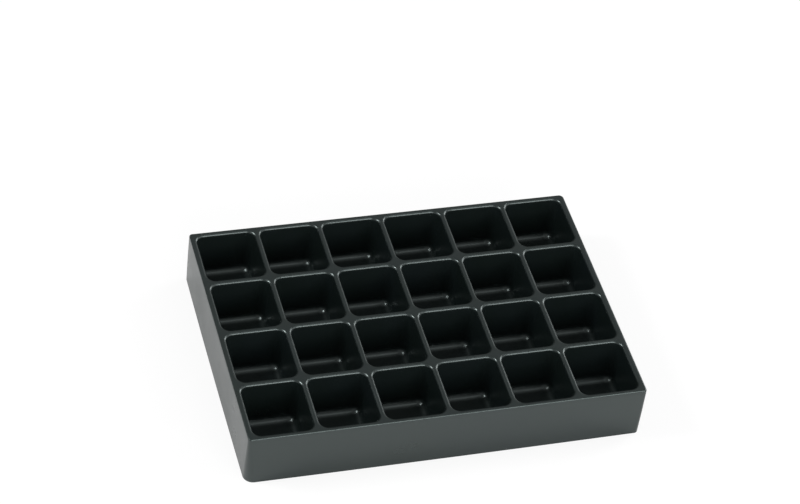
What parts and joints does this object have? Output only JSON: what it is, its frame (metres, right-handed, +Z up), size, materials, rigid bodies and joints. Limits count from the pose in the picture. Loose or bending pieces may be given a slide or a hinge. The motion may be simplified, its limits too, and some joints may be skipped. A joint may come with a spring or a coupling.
{
  "type": "thermoformed plastic tray",
  "caption": "Shallow rectangular plastic insert tray with a grid of deep tapered compartments, round-topped dividers and an open-bottomed outer skirt, for sorting small parts.",
  "frame": {"origin": "middle of the plane of the skirt's lower rim, which the tray stands on", "axes": "+X along the longer side, +Y from the front long side to the back one, +Z up out of the pockets' mouths"},
  "size_m": [0.37, 0.264, 0.056],
  "materials": {
    "sheet": "smooth semi-gloss black styrene sheet"
  },
  "bodies": {
    "root": {"tray": "sheet"}
  },
  "joints": []
}
